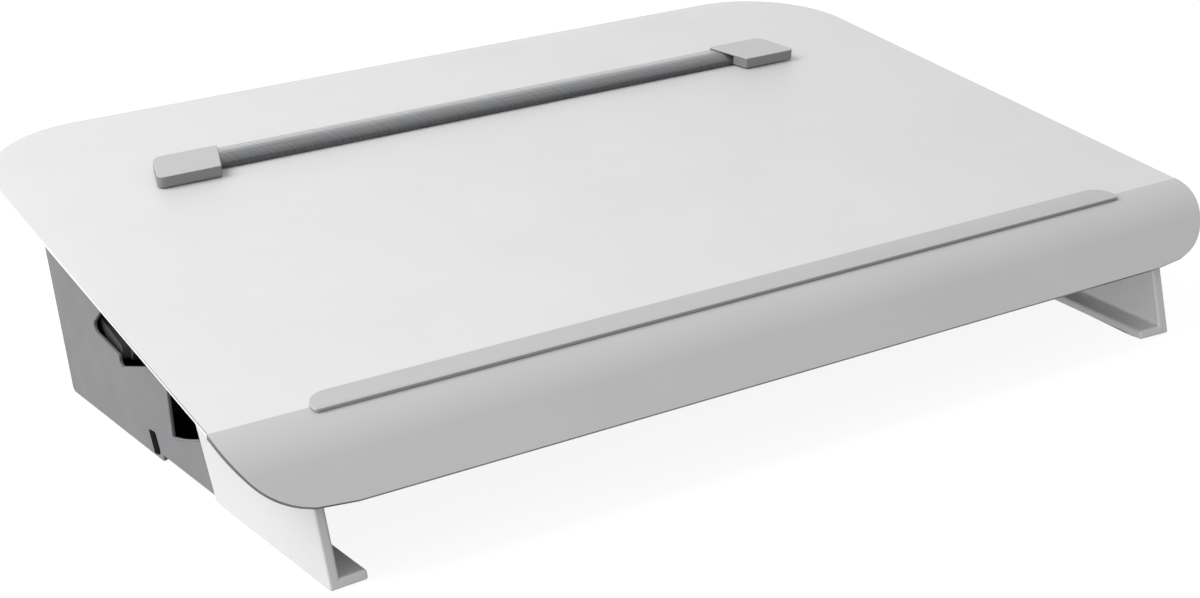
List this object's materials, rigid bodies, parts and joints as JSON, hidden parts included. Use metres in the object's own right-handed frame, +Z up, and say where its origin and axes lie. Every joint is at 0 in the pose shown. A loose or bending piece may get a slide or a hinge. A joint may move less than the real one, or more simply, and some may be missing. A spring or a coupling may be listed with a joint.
{
  "type": "document holder with drawer",
  "caption": "Sloped writing board with a curved front lip, a paper ledge and a sliding line guide, tilting on splayed side frames over a shallow storage drawer.",
  "frame": {"origin": "centre of the bounding box in X and Y, at the desk surface under the pads", "axes": "+X to the right along the paper ledge, +Y to the back, +Z up from the desk; the user sits on the -Y side"},
  "size_m": [0.5098, 0.371, 0.1071],
  "materials": {
    "white_board": "satin white laminate sheet, light gloss",
    "grey_lip": "fine moulded light grey",
    "grey_trim": "moulded mid grey, satin",
    "white_frame": "moulded white, satin",
    "grey_frame": "moulded grey, satin",
    "grey_drawer": "moulded grey, satin",
    "black_plastic": "moulded black",
    "grey_lever": "moulded dark grey, satin",
    "black_steel": "powder coated black",
    "guide_aluminium": "reeded extrusion, fine satin",
    "zinc_screws": "zinc plated",
    "magnet_plating": "nickel plated",
    "black_rubber": "matt",
    "grey_felt": "pressed felt"
  },
  "bodies": {
    "base": {"left_foot": "white_frame", "right_foot": "white_frame", "left_side_panel": "grey_frame", "right_side_panel": "grey_frame", "left_drawer_runner": "black_steel", "right_drawer_runner": "black_steel", "left_side_plate": "black_steel", "right_side_plate": "black_steel", "base_pan": "black_steel", "rear_wall": "black_steel", "rear_skid": "black_steel", "rubber_pads": "black_rubber", "base_screws": "zinc_screws", "hinge_pins": "zinc_screws", "lever_pins": "zinc_screws", "stop_pins": "zinc_screws", "lever_springs": "zinc_screws", "rest_bumpers": "black_rubber", "slit_inserts": "black_plastic"},
    "deck": {"writing_board": "white_board", "front_lip": "grey_lip", "document_ledge": "grey_trim", "steel_sheet": "black_steel", "front_beam": "black_steel", "rear_beam": "black_steel", "left_side_rail": "black_steel", "right_side_rail": "black_steel", "left_hinge_ear": "black_steel", "right_hinge_ear": "black_steel", "left_quadrant": "black_steel", "right_quadrant": "black_steel", "quadrant_screws": "zinc_screws"},
    "left_release_lever": {"left_release_lever": "grey_lever"},
    "right_release_lever": {"right_release_lever": "grey_lever"},
    "drawer": {"drawer_front": "grey_drawer", "drawer_tray": "grey_drawer", "pen_tray": "black_plastic", "drawer_divider": "grey_drawer", "cross_divider": "grey_drawer", "drawer_glides": "black_plastic"},
    "line_guide": {"guide_bar": "guide_aluminium", "left_guide_cap": "grey_trim", "right_guide_cap": "grey_trim", "guide_magnets": "magnet_plating", "guide_pads": "grey_felt"}
  },
  "joints": [
    {"name": "deck_tilt", "type": "hinge", "parent": "base", "child": "deck", "pos_m": [0, -0.16249, 0.045], "axis": [1, 0, 0], "range_deg": [0, 10]},
    {"name": "left_lever_squeeze", "type": "hinge", "parent": "base", "child": "left_release_lever", "pos_m": [-0.2275, 0.01751, 0.063], "axis": [1, 0, 0], "range_deg": [0, 14], "stiffness_Nm_per_rad": 0.05, "springref_deg": -11.46},
    {"name": "right_lever_squeeze", "type": "hinge", "parent": "base", "child": "right_release_lever", "pos_m": [0.2275, 0.01751, 0.063], "axis": [1, 0, 0], "range_deg": [0, 14], "stiffness_Nm_per_rad": 0.05, "springref_deg": -11.46},
    {"name": "drawer_slide", "type": "slide", "parent": "base", "child": "drawer", "axis": [0, -1, 0], "range_m": [0, 0.15]},
    {"name": "guide_slide", "type": "slide", "parent": "deck", "child": "line_guide", "axis": [0, 0.9925, 0.1219], "range_m": [-0.195, 0.068]}
  ]
}
